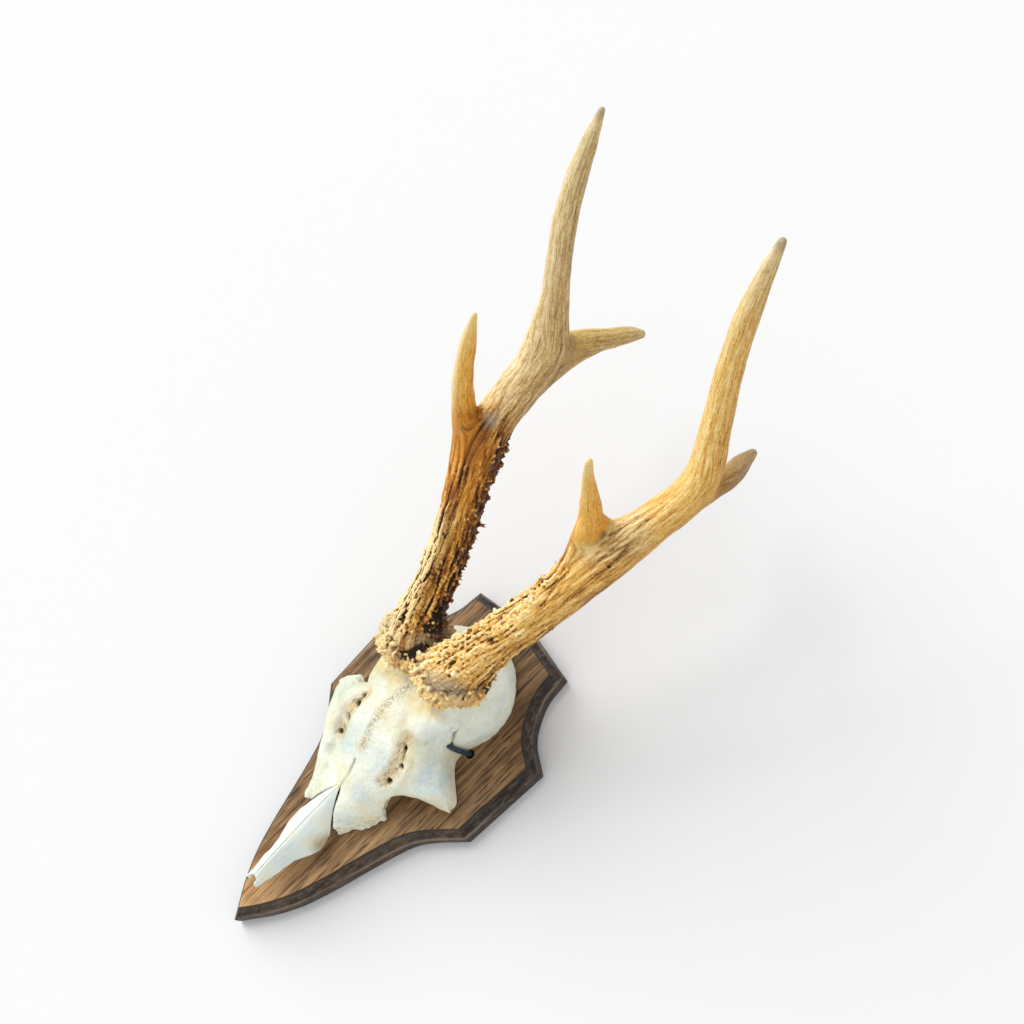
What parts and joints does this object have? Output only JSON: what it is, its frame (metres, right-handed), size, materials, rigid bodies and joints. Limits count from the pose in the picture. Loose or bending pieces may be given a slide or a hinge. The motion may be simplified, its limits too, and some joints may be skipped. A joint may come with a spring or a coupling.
{
  "type": "roe deer antler trophy on a shield",
  "caption": "Roebuck skull cap with a pair of branched, pearled antlers, tied with coated wire to a moulded wooden shield that lies flat on its back.",
  "frame": {"origin": "on the board's flat back, on the middle line, halfway between the foot and the top of the face", "axes": "+X to the viewer's right across the board, +Y up the board from its foot to its top, +Z out of the board's face, up when it lies on its back"},
  "size_m": [0.1104, 0.3387, 0.194],
  "materials": {
    "wood": "stained, worn satin wood, dark along the moulding",
    "bone": "bleached matte bone, ivory with ochre stains",
    "antler": "natural antler, satin, golden brown with dark grooves and pale pearls",
    "wire": "dark blue-grey plastic sheath"
  },
  "bodies": {
    "root": {"board": "wood", "skull_cap": "bone", "nasal_left": "bone", "nasal_right": "bone", "beam_left": "antler", "front_tine_left": "antler", "rear_tine_left": "antler", "beam_right": "antler", "front_tine_right": "antler", "rear_tine_right": "antler", "tie_wire": "wire"}
  },
  "joints": []
}
